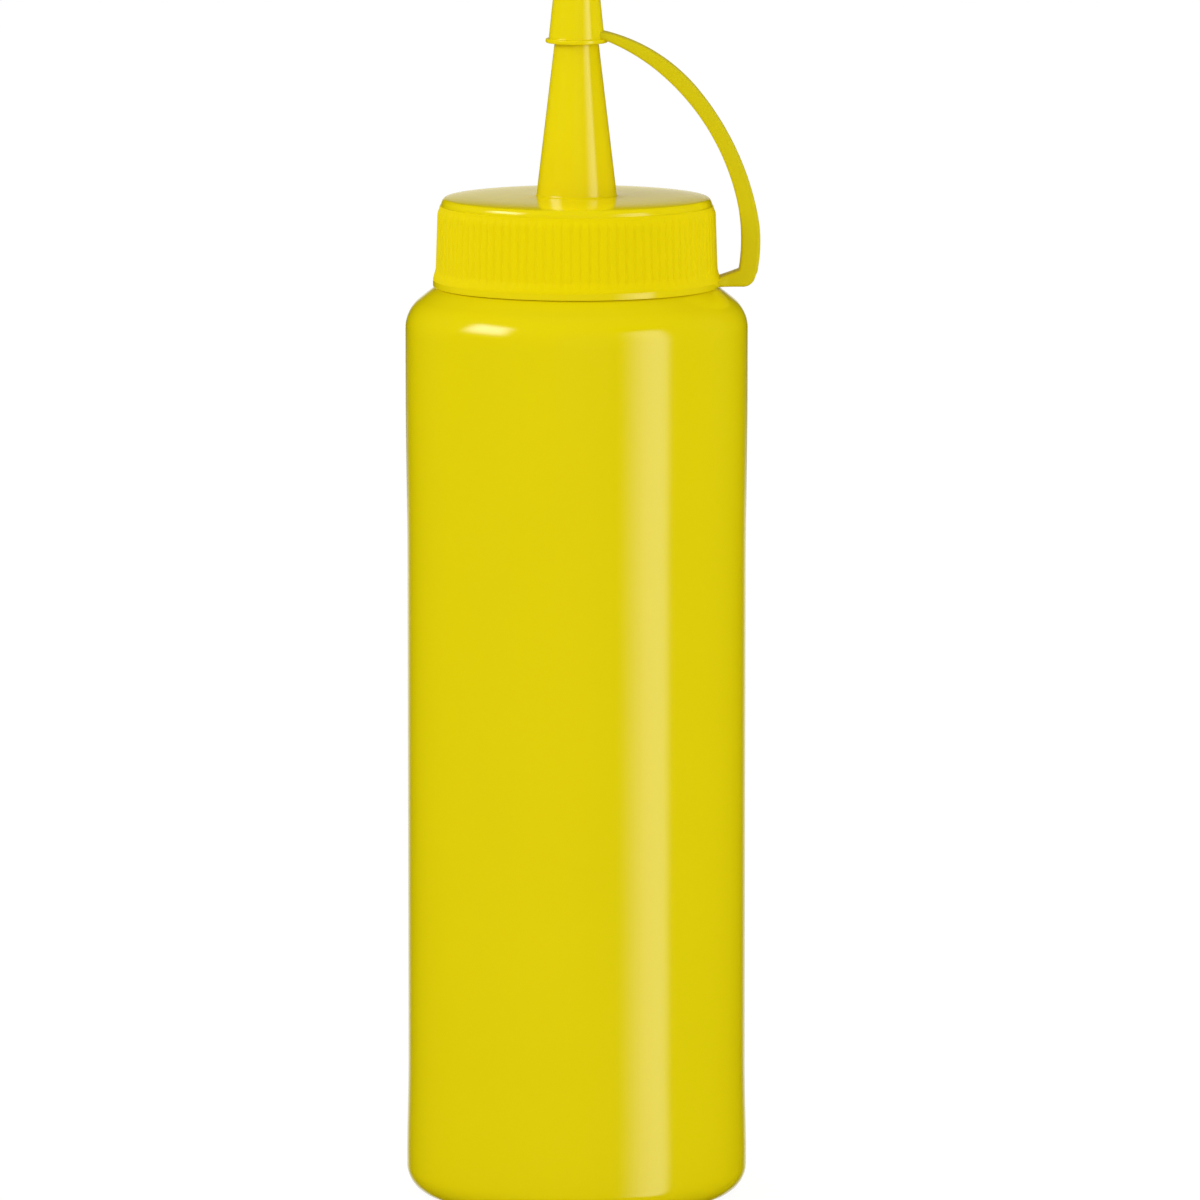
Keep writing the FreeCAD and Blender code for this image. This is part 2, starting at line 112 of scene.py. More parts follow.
# Rim and deck of the screw cap
RIM_RADIUS = SKIRT_HEAD - 0.08
RIM_WIDTH = 0.75
RIM_DROP = 1.2
RIM_ANGLES = (6, 84)
DECK_CROWN = 0.38
DECK_DOME = 0.0004
DECK_FALL = 0.2
DECK_FALL_RADIUS = 20.8
DECK_FALL_POWER = 9
DECK_RADII = (20.6, 20.1, 19.6, 19, 18.4, 17.7, 17, 16, 14.5, 13, 11, 9, 8)

# Nozzle
NOZZLE_TOP = TIP_TOP - 1.8
NOZZLE_FOOT_RADIUS = 6.5
NOZZLE_TOP_RADIUS = 1.69
NOZZLE_ROOT_ROUND = 0.35
NOZZLE_TOP_ROUND = 0.3
NOZZLE_SKIRTING = 7.9
NOZZLE_ON_DECK = 7
NOZZLE_STEPS = 24

# Where the deck's material, whose lighter colour is painted light, and the skirt's material lie on the screw
# cap
SATIN_SKIRT_BOTTOM = CAP_BOTTOM + 0.7
SATIN_SKIRT_INSIDE = BORE_RADIUS + 0.5
PAINTED_LIGHT_DECK_BOTTOM = DECK_TOP - 0.4
PAINTED_LIGHT_DECK_RADII = (6.8, 20.9)

# Tip cap
TIP_COLUMNS = 144
TIP_BOTTOM = TIP_TOP - 17.4
TIP_FOOT_RADIUS = 4.5
TIP_CROWN_RADIUS = 2.75
TIP_CROWN_ROUND = 0.9
TIP_CROWN_DEPTH = 1.4
SOCKET_FOOT = 3.738
SOCKET_HEAD = 1.89
SOCKET_HEADROOM = 0.25
SOCKET_CHAMFER = 0.15
LIP_RADIUS = 5.0
LIP_HEIGHT = 0.7
LIP_FOOT_ROUND = 0.25
LIP_HEAD_ROUND = 0.16
LIP_COLLAR = 0.9

# Tether. Each face curves by its first radius below the belly and by its second just above it, through the
# first of its turns; the other two turns take it on to its end at the tip cap
TETHER_HALF_WIDTH = 2.4
TETHER_THICKNESS = 3.07
TETHER_FLARE = 0.6
TETHER_FLARE_FADE = (BEAD_RADIUS - 0.4, BEAD_RADIUS + 1.6)
TETHER_SINK = 0.4
BELLY_HEIGHT = CAP_BOTTOM + 7.4
INNER_REACH = TETHER_REACH - TETHER_THICKNESS
OUTER_RADII = (26.5, 21.0)
INNER_RADII = (31.5, 30.0)
OUTER_TURNS = (11.4, 28.0, 37.2)
INNER_TURNS = (13.2, 35.5, 19.7)
OUTER_END = (TIP_FOOT_RADIUS, TIP_BOTTOM + 1.82)
INNER_END = (TIP_FOOT_RADIUS, TIP_BOTTOM + 0.53)
TETHER_HEAD_RADIUS = TIP_FOOT_RADIUS - TETHER_SINK
OUTER_SINK_RISE = 0.08
INNER_SINK_RISE = 0.12

# Edge rounds of the tether: the largest radius and its largest share of the thickness
OUTER_EDGE = (0.6, 0.4)
INNER_EDGE = (0.45, 0.3)

# Tab at the tether's root, which ends in the heel outside and in the crook inside. A face leans out by its
# lean for each millimetre of height, and the tab's upper face rises by its slope for each millimetre outwards
TAB_ROOT = BEAD_RADIUS - 1.0
TAB_THICKNESS = 1.2
TAB_STEPS = 8
TAB_SLOPE = 0.375
HEEL_ROUND = 2.0
HEEL_LEAN = 0.15
HEEL_RUN_IN = 2.2
CROOK_HEIGHT = CAP_BOTTOM + 2.7
CROOK_ROUND = 0.3
CROOK_LEAN = 0.05
CROOK_RUN_IN = (0.35, 0.13)

# Studio, in metres
WORLD_LEVEL = 0.66
FLOOR_CORNERS = [(-3, -0.5, 0), (3, -0.5, 0), (3, 6, 0), (-3, 6, 0)]
FLOOR_GREY = 0.72
FLOOR_GLOW = 1.1
FLOOR_GLOW_SHARE = 0.85
PANEL_DISTANCE = 0.9
BACKDROP_DISTANCE = 1.0
BACKDROP_HALF_WIDTH = 0.5
LIGHT_TARGET = (0, 0, 0.1)
HIGH_TARGET = (0, 0, 0.15)

# Camera, in metres, with its lens and sensor in millimetres
CAMERA_PLACE = (0, -1.7, 0.331)
CAMERA_TARGET = (0, 0, 0.09708)
CAMERA_LENS = 317.7
CAMERA_SHIFT = 0.0195
SENSOR_WIDTH = 36

# Plastic
TINT_SPREAD = 0.015
GLOSS_SPREAD = 0.02
WAVE_DEPTH = 0.12 * MM


# Profiles: lists of (radius, height) or (x, z) points
def arc(centre, radius, first, last, count):
    """Points on an arc, with its angles in degrees from the first to the last."""
    points = []
    for step in range(count + 1):
        angle = math.radians(first + (last - first) * step / count)
        points.append((centre[0] + radius * math.cos(angle), centre[1] + radius * math.sin(angle)))
    return points


def rounded(corners, steps=8):
    """An outline through corners (x, z, round), with each corner replaced by an arc of that radius."""
    points = []
    for number, (x, z, radius) in enumerate(corners):
        if not radius:
            points.append((x, z))
            continue
        here = Vector((x, z))
        back = (Vector(corners[number - 1][:2]) - here).normalized()
        on = (Vector(corners[(number + 1) % len(corners)][:2]) - here).normalized()
        half = back.angle(on) / 2
        reach = radius / math.tan(half)
        centre = here + (back + on).normalized() * (radius / math.sin(half))
        first = here + back * reach - centre
        last = here + on * reach - centre
        for step in range(steps + 1):
            spoke = first.lerp(last, step / steps).normalized() * radius
            points.append(tuple(centre + spoke))
    return points


def smooth_step(value):
    """0 below 0, 1 above 1, and an even ease between them."""
    value = min(max(value, 0.0), 1.0)
    return value * value * (3 - 2 * value)


def share_of(value, span):
    """How far a value has risen through a span (low, high), eased."""
    return smooth_step((value - span[0]) / (span[1] - span[0]))


def divided(start, end, count):
    """Points after start up to end, evenly spaced."""
    return [(start[0] + (end[0] - start[0]) * i / count, start[1] + (end[1] - start[1]) * i / count)
            for i in range(1, count + 1)]


# Meshes
def make_piece(name, vertices, faces, materials, node, pick=None):
    """A named mesh that rides on the root and stands for a CAD node.

    pick(height, radius) tells which of the materials a face takes from where its middle lies."""
    mesh = bpy.data.meshes.new(name)
    mesh.from_pydata([Vector(v) * MM for v in vertices], [], faces)
    mesh.validate()
    mesh.shade_smooth()
    piece = bpy.data.objects.new(name, mesh)
    bpy.context.collection.objects.link(piece)
    mesh.set_sharp_from_angle(angle=math.radians(SHARP_ANGLE))
    for material in materials:
        mesh.materials.append(material)
    if pick:
        for face in mesh.polygons:
            middle = face.center / MM
            face.material_index = pick(middle.z, math.hypot(middle.x, middle.y))
    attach(piece, "root")
    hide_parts(node)


def turned(rings):
    """Vertices and faces of a closed turned shape.

    Each ring is a list of (x, y, z); a ring of one point is a pole. Two rings that meet have the
    same number of points, or one has a whole number of times as many as the other."""
    vertices, faces, starts = [], [], []
    for ring_points in rings:
        starts.append(len(vertices))
        vertices.extend(ring_points)
    for number in range(len(rings) - 1):
        low, high = rings[number], rings[number + 1]
        a, b = starts[number], starts[number + 1]
        count = max(len(low), len(high))
        for i in range(count):
            j = (i + 1) % count
            low_i, low_j = i * len(low) // count, j * len(low) // count
            high_i, high_j = i * len(high) // count, j * len(high) // count
            corners = [a + low_i, a + low_j, b + high_j, b + high_i]
            faces.append([v for k, v in enumerate(corners) if v != corners[k - 1]])
    return vertices, faces


def ring(radius, height, columns, proud=None):
    """A level ring; proud(angle) is added to the radius where given."""
    if not radius:
        return [(0.0, 0.0, height)]
    points = []
    for column in range(columns):
        angle = 2 * math.pi * column / columns
        r = radius + (proud(angle) if proud else 0.0)
        points.append((r * math.cos(angle), r * math.sin(angle), height))
    return points


def level_rings(profile, columns):
    """A plain ring for each (radius, height) of a profile."""
    return [ring(radius, height, columns) for radius, height in profile]


# Bottle
def build_bottle(material):
    """Push-up, standing ring, wall, shoulder, ledge and neck, as one closed mesh."""
    push_up = (PUSH_UP_FLAT, PUSH_UP_HEIGHT - PUSH_UP_RADIUS)
    dome = arc(push_up, PUSH_UP_RADIUS, *PUSH_UP_ANGLES, count=10)
    foot = rounded([
        (PUSH_UP_FLAT, PUSH_UP_HEIGHT, 0), (STANDING_RADIUS, 0, STANDING_ROUND),
        (FOOT_RADIUS, 0, FOOT_ROUND), (FOOT_RADIUS, WALL_BOTTOM, 0)])
    profile = [(0, PUSH_UP_HEIGHT)] + dome + [p for p in foot if p[0] > dome[-1][0]]
    for step in range(1, WALL_STEPS + 1):
        height = WALL_BOTTOM + (WALL_TOP - WALL_BOTTOM) * step / WALL_STEPS
        foot_share = 1 - share_of(height, FOOT_SWELL_FADE)
        shoulder_share = share_of(height, SHOULDER_SWELL_RISE)
        profile.append((BODY_RADIUS + FOOT_SWELL * foot_share + SHOULDER_SWELL * shoulder_share, height))
    shoulder = rounded([
        (SHOULDER_RADIUS, WALL_TOP, 0), (SHOULDER_RADIUS, SHOULDER_CORNER, SHOULDER_ROUND),
        (LEDGE_RADIUS, LEDGE_HEIGHT, LEDGE_ROUND), (NECK_RADIUS, LEDGE_HEIGHT, 0)], steps=14)
    profile += shoulder[1:]
    profile += [(NECK_RADIUS, NECK_TOP - NECK_CHAMFER), (NECK_RADIUS - NECK_CHAMFER, NECK_TOP), (0, NECK_TOP)]
    make_piece("bottle_shell", *turned(level_rings(profile, BOTTLE_COLUMNS)), [material], "bottle")


# Screw cap
def valley(angle):
    """1 in the middle of the valley between two ribs, 0 on the flat crest of a rib."""
    pitch = 2 * math.pi * SKIRT_FOOT / RIB_COUNT
    share = (angle * RIB_COUNT / (2 * math.pi)) % 1.0 - 0.5
    return 1 - smooth_step(abs(share) * pitch / VALLEY_HALF_WIDTH)


def grooved(radius, height, depth):
    """A ring with a valley of this depth between each two ribs."""
    return ring(radius, height, FINE_COLUMNS, lambda angle: -depth * valley(angle))


def skirt_ring(height):
    """A ring of the skirt, whose ribs rise softly under the deck and run out in the bead's flare."""
    line = SKIRT_FOOT + (SKIRT_HEAD - SKIRT_FOOT) * (height - BEAD_TOP) / (DECK_TOP - BEAD_TOP)
    head = 1 - share_of(height, RIB_HEAD)
    foot = share_of(height, RIB_FOOT)
    return grooved(line + RIB_PROUD * head, height, VALLEY_DEPTH * head * foot)


def deck_height(radius):
    """The deck is very slightly domed, and falls off faster towards its rim."""
    fall = DECK_FALL * (radius / DECK_FALL_RADIUS) ** DECK_FALL_POWER
    return DECK_TOP + DECK_CROWN - DECK_DOME * radius ** 2 - fall


def rim_profile():
    """The soft edge between the skirt and the deck, from outside in."""
    curve = arc((0, 0), 1, *RIM_ANGLES, count=14)
    deck_edge = RIM_RADIUS - RIM_WIDTH
    inner_x, inner_z = curve[-1]
    foot = deck_height(deck_edge) - RIM_DROP * inner_z
    return [(deck_edge + RIM_WIDTH * (x - inner_x), foot + RIM_DROP * z) for x, z in curve]


def nozzle_profile():
    """The cone from its root round on the deck to its top, which the tip cap covers."""
    steps = 10
    foot_height = deck_height(NOZZLE_ON_DECK)
    profile = rounded([
        (NOZZLE_SKIRTING, foot_height, 0), (NOZZLE_FOOT_RADIUS, foot_height, NOZZLE_ROOT_ROUND),
        (NOZZLE_TOP_RADIUS, NOZZLE_TOP, NOZZLE_TOP_ROUND), (0, NOZZLE_TOP, 0)], steps)
    cone_end = 1 + (steps + 1)
    cone = divided(profile[cone_end - 1], profile[cone_end], NOZZLE_STEPS)
    return profile[:cone_end] + cone[:-1] + profile[cone_end:]


def cap_material(height, radius):
    """Number of the material of a face: 0 glossy, 1 satin skirt, 2 slightly rougher deck whose lighter colour
    is painted light.
    """
    if SATIN_SKIRT_BOTTOM < height < RIB_HEAD[1] and radius > SATIN_SKIRT_INSIDE:
        return 1
    if height > PAINTED_LIGHT_DECK_BOTTOM and PAINTED_LIGHT_DECK_RADII[0] < radius < PAINTED_LIGHT_DECK_RADII[1]:
        return 2
    return 0


def build_cap(materials):
    """Bore, bead, ribbed skirt, deck and nozzle, as one closed mesh."""
    under = [(0, NECK_TOP), (BORE_RADIUS, NECK_TOP), (BORE_RADIUS, CAP_BOTTOM + BORE_CHAMFER),
             (BORE_RADIUS + BORE_CHAMFER, CAP_BOTTOM)]
    rings = level_rings(under, COARSE_COLUMNS)
    crest = SKIRT_FOOT + RIB_PROUD - FLARE_INSET
    bead = rounded([
        (BEAD_RADIUS - BEAD_FOOT_WIDTH, CAP_BOTTOM, 0), (BEAD_RADIUS, CAP_BOTTOM, BEAD_FOOT_ROUND),
        (BEAD_RADIUS, CAP_BOTTOM + BEAD_SIDE, BEAD_FLARE_ROUND), (crest, FLARE_TOP, BEAD_FLARE_ROUND),
        (crest, FLARE_TOP + 1, 0)], steps=6)[:-1]
    for radius, height in bead:
        rings.append(grooved(radius, height, VALLEY_DEPTH * share_of(height, RIB_FOOT)))
    low = bead[-1][1] + SKIRT_START
    high = RIB_HEAD[1]
    for step in range(SKIRT_STEPS + 1):
        rings.append(skirt_ring(low + (high - low) * step / SKIRT_STEPS))
    rings += level_rings(rim_profile(), FINE_COLUMNS)
    rings += level_rings([(radius, deck_height(radius)) for radius in DECK_RADII], COARSE_COLUMNS)
    rings += level_rings(nozzle_profile(), COARSE_COLUMNS)
    make_piece("screw_cap", *turned(rings), materials, "closure", cap_material)


# Tip cap
def build_tip_cap(material):
    """Socket, lip and cone of the tip cap, as one closed mesh."""
    socket_top = NOZZLE_TOP + SOCKET_HEADROOM
    lip_top = TIP_BOTTOM + LIP_HEIGHT
    slope = (TIP_CROWN_RADIUS - TIP_FOOT_RADIUS) / (TIP_TOP - TIP_BOTTOM - LIP_HEIGHT)
    collar = (TIP_FOOT_RADIUS + slope * LIP_COLLAR, lip_top + LIP_COLLAR)
    crown_foot = (TIP_CROWN_RADIUS - slope * TIP_CROWN_DEPTH, TIP_TOP - TIP_CROWN_DEPTH)
    profile = [(0, socket_top), (SOCKET_HEAD, socket_top), (SOCKET_HEAD, NOZZLE_TOP)]
    profile += divided((SOCKET_HEAD, NOZZLE_TOP), (SOCKET_FOOT, TIP_BOTTOM + SOCKET_CHAMFER), count=6)
    profile += rounded([
        (SOCKET_FOOT + SOCKET_CHAMFER, TIP_BOTTOM, 0), (LIP_RADIUS, TIP_BOTTOM, LIP_FOOT_ROUND),
        (LIP_RADIUS, lip_top, LIP_HEAD_ROUND), (TIP_FOOT_RADIUS, lip_top, LIP_HEAD_ROUND),
        (*collar, 0)], steps=6)
    profile += divided(collar, crown_foot, count=12)
    crown = rounded([
        (*profile[-1], 0), (TIP_CROWN_RADIUS, TIP_TOP, TIP_CROWN_ROUND), (0, TIP_TOP, 0)], steps=10)
    profile += crown[1:]
    make_piece("tip_cap", *turned(level_rings(profile, TIP_COLUMNS)), [material], "closure")


# Tether
def evenly(points, count):
    """The same line with count + 1 points spaced evenly along it."""
    travel = [0.0]
    for a, b in zip(points, points[1:]):
        travel.append(travel[-1] + math.hypot(b[0] - a[0], b[1] - a[1]))
    spaced, here = [], 0
    for step in range(count + 1):
        goal = travel[-1] * step / count
        while here < len(points) - 2 and travel[here + 1] < goal:
            here += 1
        share = (goal - travel[here]) / (travel[here + 1] - travel[here])
        a, b = points[here], points[here + 1]
        spaced.append((a[0] + (b[0] - a[0]) * share, a[1] + (b[1] - a[1]) * share))
    return spaced


def arc_chain(start, first_radius, turns, last):
    """Points along three tangent arcs that start upright at start and end at the point last.

    The first radius and the three turns are given, and the other two radii follow from them."""
    angles = [0.0]
    for turn in turns:
        angles.append(angles[-1] + math.radians(turn))
    along_x = [math.cos(b) - math.cos(a) for a, b in zip(angles, angles[1:])]
    along_z = [math.sin(b) - math.sin(a) for a, b in zip(angles, angles[1:])]
    left_x = last[0] - start[0] - first_radius * along_x[0]
    left_z = last[1] - start[1] - first_radius * along_z[0]
    whole = along_x[1] * along_z[2] - along_x[2] * along_z[1]
    radii = [first_radius, (left_x * along_z[2] - left_z * along_x[2]) / whole,
             (left_z * along_x[1] - left_x * along_z[1]) / whole]
    points = [start]
    x, z = start
    for number, radius in enumerate(radii):
        first, last_angle = angles[number], angles[number + 1]
        centre = (x - radius * math.cos(first), z - radius * math.sin(first))
        points += arc(centre, radius, math.degrees(first), math.degrees(last_angle), count=40)[1:]
        x, z = points[-1]
    return evenly(points, count=48)


def below_belly(reach, radius, height):
    """Point on a face of the tether below its belly, where the face is an arc of this radius."""
    return (reach - radius + math.sqrt(radius ** 2 - (BELLY_HEIGHT - height) ** 2), height)


def foot_line(start, reach, radius):
    """Points of a face from the corner at its foot up to just below the belly."""
    heights = [start + (BELLY_HEIGHT - start) * step / TAB_STEPS for step in range(1, TAB_STEPS)]
    return [below_belly(reach, radius, height) for height in heights]


def tether_lines():
    """Outer and inner outline, matched point for point, from the tab's root to the tip cap."""
    heel = below_belly(TETHER_REACH, OUTER_RADII[0], CAP_BOTTOM)[0]
    crook = below_belly(INNER_REACH, INNER_RADII[0], CROOK_HEIGHT)[0]
    tab_under = [(TAB_ROOT, CAP_BOTTOM)]
    tab_under += divided(tab_under[0], (heel - HEEL_RUN_IN, CAP_BOTTOM), TAB_STEPS)
    tab_over = [(TAB_ROOT, CAP_BOTTOM + TAB_THICKNESS)]
    crook_start = (crook - CROOK_RUN_IN[0], CROOK_HEIGHT - CROOK_RUN_IN[1])
    tab_over += divided(tab_over[0], crook_start, TAB_STEPS)
    corner = rounded([
        (heel - 4, CAP_BOTTOM, 0), (heel, CAP_BOTTOM, HEEL_ROUND),
        (heel + 4 * HEEL_LEAN, CAP_BOTTOM + 4, 0)], steps=14)[1:-1]
    inside = rounded([
        (crook - 2, CROOK_HEIGHT - 2 * TAB_SLOPE, 0), (crook, CROOK_HEIGHT, CROOK_ROUND),
        (crook + 2 * CROOK_LEAN, CROOK_HEIGHT + 2, 0)], steps=14)[1:-1]
    outer_foot = foot_line(corner[-1][1], TETHER_REACH, OUTER_RADII[0])
    inner_foot = foot_line(inside[-1][1], INNER_REACH, INNER_RADII[0])
    outer_up = arc_chain((TETHER_REACH, BELLY_HEIGHT), OUTER_RADII[1], OUTER_TURNS, OUTER_END)
    inner_up = arc_chain((INNER_REACH, BELLY_HEIGHT), INNER_RADII[1], INNER_TURNS, INNER_END)
    outer_last = [(TETHER_HEAD_RADIUS, outer_up[-1][1] + OUTER_SINK_RISE)]
    inner_last = [(TETHER_HEAD_RADIUS, inner_up[-1][1] + INNER_SINK_RISE)]
    return (tab_under + corner + outer_foot + outer_up + outer_last,
            tab_over + inside + inner_foot + inner_up + inner_last)


def tether_section(outer, inner):
    """Closed section with rounded edges between two matched points; it is wider at the tab's root."""
    (outer_x, outer_z), (inner_x, inner_z) = outer, inner
    thickness = math.hypot(outer_x - inner_x, outer_z - inner_z)
    inner_round = min(INNER_EDGE[0], thickness * INNER_EDGE[1])
    outer_round = min(OUTER_EDGE[0], thickness * OUTER_EDGE[1])
    width = TETHER_HALF_WIDTH
    if inner_z < BELLY_HEIGHT:
        width += TETHER_FLARE * (1.0 - share_of((outer_x + inner_x) / 2, TETHER_FLARE_FADE))
    outline = rounded([
        (width, 0, inner_round), (-width, 0, inner_round),
        (-width, thickness, outer_round), (width, thickness, outer_round)], steps=6)
    along_x, along_z = (outer_x - inner_x) / thickness, (outer_z - inner_z) / thickness
    return [(inner_x + along_x * t, y, inner_z + along_z * t) for y, t in outline]


def build_tether(material):
    """Bar from the bead to the tip cap, lofted between its two outlines and closed at both ends."""
    rings = [tether_section(outer, inner) for outer, inner in zip(*tether_lines())]
    rings[-1] = [(math.sqrt(TETHER_HEAD_RADIUS ** 2 - y ** 2), y, z) for _, y, z in rings[-1]]
    vertices, faces = turned(rings)
    count = len(rings[0])
    faces.append(list(range(count))[::-1])
    faces.append(list(range(len(vertices) - count, len(vertices))))
    make_piece("tether", vertices, faces, [material], "closure")


# Materials
def node_material(name):
    """A new material with its nodes and links."""
    material = bpy.data.materials.new(name)
    material.use_nodes = True
    return material, material.node_tree.nodes, material.node_tree.links


def plastic(name, colour, roughness, specular=0.5):
    """Opaque polyethylene with a faint cloudiness, moulding waves and fine grain; its colour is linear."""
    material, nodes, links = node_material(name)
    shader = nodes["Principled BSDF"]
    shader.inputs["IOR"].default_value = 1.5
    shader.inputs["Specular IOR Level"].default_value = specular
    place = nodes.new("ShaderNodeTexCoord")

    def noise(scale, detail):
        node = nodes.new("ShaderNodeTexNoise")
        node.inputs["Scale"].default_value = scale
        node.inputs["Detail"].default_value = detail
        links.new(place.outputs["Object"], node.inputs["Vector"])
        return node.outputs["Fac"]

    tint = nodes.new("ShaderNodeMix")
    tint.data_type = "RGBA"
    tint.inputs["A"].default_value = (*(c * (1 - TINT_SPREAD) for c in colour), 1)
    tint.inputs["B"].default_value = (*(min(1, c * (1 + TINT_SPREAD)) for c in colour), 1)
    links.new(noise(45, 3), tint.inputs["Factor"])
    links.new(tint.outputs["Result"], shader.inputs["Base Color"])

    gloss = nodes.new("ShaderNodeMapRange")
    gloss.inputs["To Min"].default_value = roughness - GLOSS_SPREAD
    gloss.inputs["To Max"].default_value = roughness + GLOSS_SPREAD
    links.new(noise(900, 2), gloss.inputs["Value"])
    links.new(gloss.outputs["Result"], shader.inputs["Roughness"])

    bump = nodes.new("ShaderNodeBump")
    bump.inputs["Strength"].default_value = 0.25
    bump.inputs["Distance"].default_value = WAVE_DEPTH
    links.new(noise(60, 1), bump.inputs["Height"])
    links.new(bump.outputs["Normal"], shader.inputs["Normal"])
    return material


def floor_material():
    """Pale floor that shows as white and still takes a soft shadow."""
    material, nodes, links = node_material("floor_white")
    shader = nodes["Principled BSDF"]
    shader.inputs["Base Color"].default_value = (FLOOR_GREY, FLOOR_GREY, FLOOR_GREY, 1)
    shader.inputs["Roughness"].default_value = 0.9
    glow = nodes.new("ShaderNodeEmission")
    glow.inputs["Strength"].default_value = FLOOR_GLOW
    path = nodes.new("ShaderNodeLightPath")
    share = nodes.new("ShaderNodeMath")
    share.operation = "MULTIPLY"
    share.inputs[1].default_value = FLOOR_GLOW_SHARE
    mix = nodes.new("ShaderNodeMixShader")
    links.new(path.outputs["Is Camera Ray"], share.inputs[0])
    links.new(share.outputs["Value"], mix.inputs["Fac"])
    links.new(shader.outputs["BSDF"], mix.inputs[1])
    links.new(glow.outputs["Emission"], mix.inputs[2])
    links.new(mix.outputs["Shader"], nodes["Material Output"].inputs["Surface"])
    material.cycles.emission_sampling = "NONE"
    return material


def glow_material(name, strength, fades):
    """A light panel that dims softly: each fade is (axis, dark end, bright end) in metres."""
    material, nodes, links = node_material(name)
    nodes.remove(nodes["Principled BSDF"])
    glow = nodes.new("ShaderNodeEmission")
    links.new(glow.outputs["Emission"], nodes["Material Output"].inputs["Surface"])
    place = nodes.new("ShaderNodeTexCoord")
    split = nodes.new("ShaderNodeSeparateXYZ")
    links.new(place.outputs["Object"], split.inputs["Vector"])
    level = None
    for axis, dark, bright in fades:
        ramp = nodes.new("ShaderNodeMapRange")
        ramp.interpolation_type = "SMOOTHSTEP"
        ramp.inputs["From Min"].default_value = min(dark, bright)
        ramp.inputs["From Max"].default_value = max(dark, bright)
        ramp.inputs["To Min"].default_value = 0.0 if dark < bright else 1.0
        ramp.inputs["To Max"].default_value = 1.0 if dark < bright else 0.0
        links.new(split.outputs[axis], ramp.inputs["Value"])
        product = nodes.new("ShaderNodeMath")
        product.operation = "MULTIPLY"
        links.new(ramp.outputs["Result"], product.inputs[0])
        if level:
            links.new(level, product.inputs[1])
        else:
            product.inputs[1].default_value = strength
        level = product.outputs["Value"]
    links.new(level, glow.inputs["Strength"])
    return material


# Studio
def make_stage(name, corners, material, camera=True, diffuse=True, glossy=True, shadow=True):
    """A flat piece of the studio, seen only by the rays asked for."""
    mesh = bpy.data.meshes.new(name)
    mesh.from_pydata(corners, [], [list(range(len(corners)))])
    mesh.materials.append(material)
    item = bpy.data.objects.new(name, mesh)
    bpy.context.collection.objects.link(item)
    item.visible_camera = camera
    item.visible_diffuse = diffuse
    item.visible_glossy = glossy
    item.visible_shadow = shadow


def around(azimuth, distance, height):
    """A point seen from the bottle at this azimuth from the camera's side, right positive."""
    angle = math.radians(azimuth)
    return (distance * math.sin(angle), -distance * math.cos(angle), height)


def area_light(name, place, target, size, power):
    """A soft light that only diffuse surfaces see."""
    light = bpy.data.lights.new(name, "AREA")
    light.shape = "RECTANGLE"
    light.size, light.size_y = size
    light.energy = power
    item = bpy.data.objects.new(name, light)
    bpy.context.collection.objects.link(item)
    item.location = place
    item.rotation_euler = (Vector(target) - Vector(place)).to_track_quat("-Z", "Y").to_euler()
    item.visible_glossy = False
    item.visible_camera = False


def panel(name, azimuths, heights, material, diffuse):
    """An upright light panel that shiny surfaces mirror and that, with diffuse, lights dull ones too."""
    low, high = heights
    left, right = [around(azimuth, PANEL_DISTANCE, 0)[:2] for azimuth in azimuths]
    corners = [(*left, low), (*right, low), (*right, high), (*left, high)]
    make_stage(name, corners, material, camera=False, diffuse=diffuse, shadow=False)


def backdrop(name, heights, material):
    """A glow behind the object that only shiny surfaces see, at grazing angles."""
    material.cycles.emission_sampling = "NONE"
    low, high = heights
    x, y = BACKDROP_HALF_WIDTH, BACKDROP_DISTANCE
    corners = [(-x, y, low), (x, y, low), (x, y, high), (-x, y, high)]
    make_stage(name, corners, material, camera=False, diffuse=False, shadow=False)


def build_world():
    """Even white light, full white to the camera and unseen by shiny surfaces."""
    world = bpy.data.worlds.new("studio")
    bpy.context.scene.world = world
    world.use_nodes = True
    nodes, links = world.node_tree.nodes, world.node_tree.links
    background = nodes["Background"]
    path = nodes.new("ShaderNodeLightPath")
    level = nodes.new("ShaderNodeMapRange")
    level.inputs["To Min"].default_value = WORLD_LEVEL
    level.inputs["To Max"].default_value = 1.0
    links.new(path.outputs["Is Camera Ray"], level.inputs["Value"])
    links.new(level.outputs["Result"], background.inputs["Strength"])
    background.inputs["Color"].default_value = (1, 1, 1, 1)
    world.cycles_visibility.glossy = False


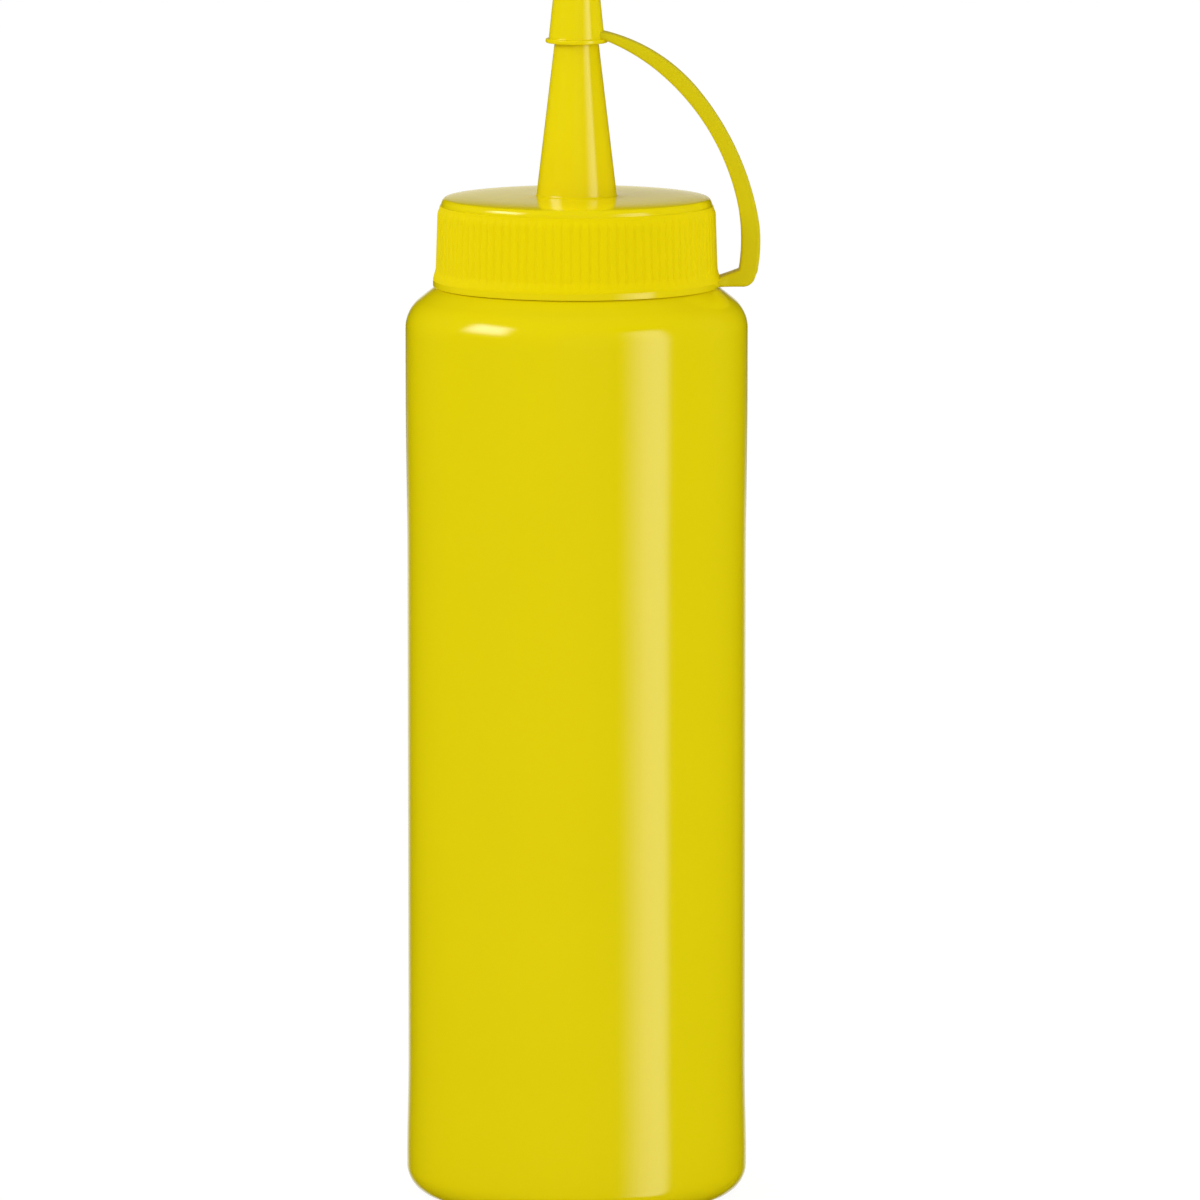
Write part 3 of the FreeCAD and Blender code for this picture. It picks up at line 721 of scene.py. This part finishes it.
def build_studio():
    """Floor, backdrops that the deck and the body's edges mirror, two softboxes and plain lights."""
    make_stage("floor", FLOOR_CORNERS, floor_material(), glossy=False)
    deck_back = glow_material("backdrop_glow_of_deck", strength=0.91, fades=[
        ("X", -0.24, -0.12), ("X", 0.24, 0.12), ("Z", 0.43, 0.12), ("Z", 0.0, 0.10)])
    backdrop("backdrop_of_deck", heights=(-0.02, 0.48), material=deck_back)
    body_back = glow_material("backdrop_glow_of_body", strength=0.85, fades=[
        ("X", -0.48, -0.18), ("X", 0.48, 0.18), ("Z", 0.04, -0.04)])
    backdrop("backdrop_of_body", heights=(-0.5, 0.06), material=body_back)
    right = glow_material("softbox_right_glow", strength=2.7, fades=[
        ("X", 0.3945, 0.6747), ("X", 0.8345, 0.7311), ("Z", 0.76, 0.56)])
    panel("softbox_right", azimuths=(26, 68), heights=(-0.5, 1.0), material=right, diffuse=True)
    left = glow_material("softbox_left_glow", strength=7.2, fades=[
        ("Y", -0.62, -0.44), ("Y", 0.0, -0.20), ("Z", 0.30, 0.55), ("Z", 0.96, 0.70)])
    panel("softbox_left", azimuths=(-93, -42), heights=(0.28, 0.98), material=left, diffuse=False)
    area_light("softbox_left_fill", around(-67, PANEL_DISTANCE, 0.63), HIGH_TARGET, (0.5, 0.42), power=2.75)
    area_light("fill_front", (0.23, -1.6, 0.5), LIGHT_TARGET, (1.2, 1.2), power=5.5)
    area_light("rim_right", around(112, 1.0, 0.3), LIGHT_TARGET, (0.5, 0.8), power=2.0)
    area_light("rim_left", around(-118, 1.0, 0.3), LIGHT_TARGET, (0.5, 0.8), power=1.3)
    area_light("top_soft", (-0.1, 0.0, 1.2), HIGH_TARGET, (0.8, 0.8), power=1.0)


def build_camera():
    """The long lens that was fitted to the photo's outlines."""
    camera = bpy.data.objects.new("camera", bpy.data.cameras.new("camera"))
    bpy.context.collection.objects.link(camera)
    bpy.context.scene.camera = camera
    camera.location = CAMERA_PLACE
    sight = Vector(CAMERA_TARGET) - camera.location
    camera.rotation_euler = sight.to_track_quat("-Z", "Y").to_euler()
    camera.data.sensor_width = SENSOR_WIDTH
    camera.data.lens = CAMERA_LENS
    camera.data.shift_x = CAMERA_SHIFT
    camera.data.clip_end = 50


body_plastic = plastic("body_polyethylene", colour=(0.775, 0.64, 0.001), roughness=0.11)
closure_plastic = plastic("closure_polyethylene", colour=(0.81, 0.662, 0.0015), roughness=0.12)
skirt_plastic = plastic("skirt_satin_polyethylene", colour=(0.792, 0.638, 0.001), roughness=0.5,
                        specular=0.02)
# The deck's plastic is the closure's plastic made lighter: painted light, as if more light fell on the deck
# from above.
deck_plastic_painted_light = plastic("deck_polyethylene_painted_light", colour=(0.9, 0.73, 0.0015), roughness=0.15)
# The tether's plastic is the closure's plastic made darker: painted shade on the strap.
tether_plastic_painted_shade = plastic("tether_polyethylene_painted_shade", colour=(0.645, 0.54, 0.001), roughness=0.4, specular=0.1)
build_bottle(body_plastic)
build_cap([closure_plastic, skirt_plastic, deck_plastic_painted_light])
build_tip_cap(closure_plastic)
build_tether(tether_plastic_painted_shade)
build_world()
build_studio()
build_camera()
bpy.context.scene.view_settings.view_transform = "Standard"
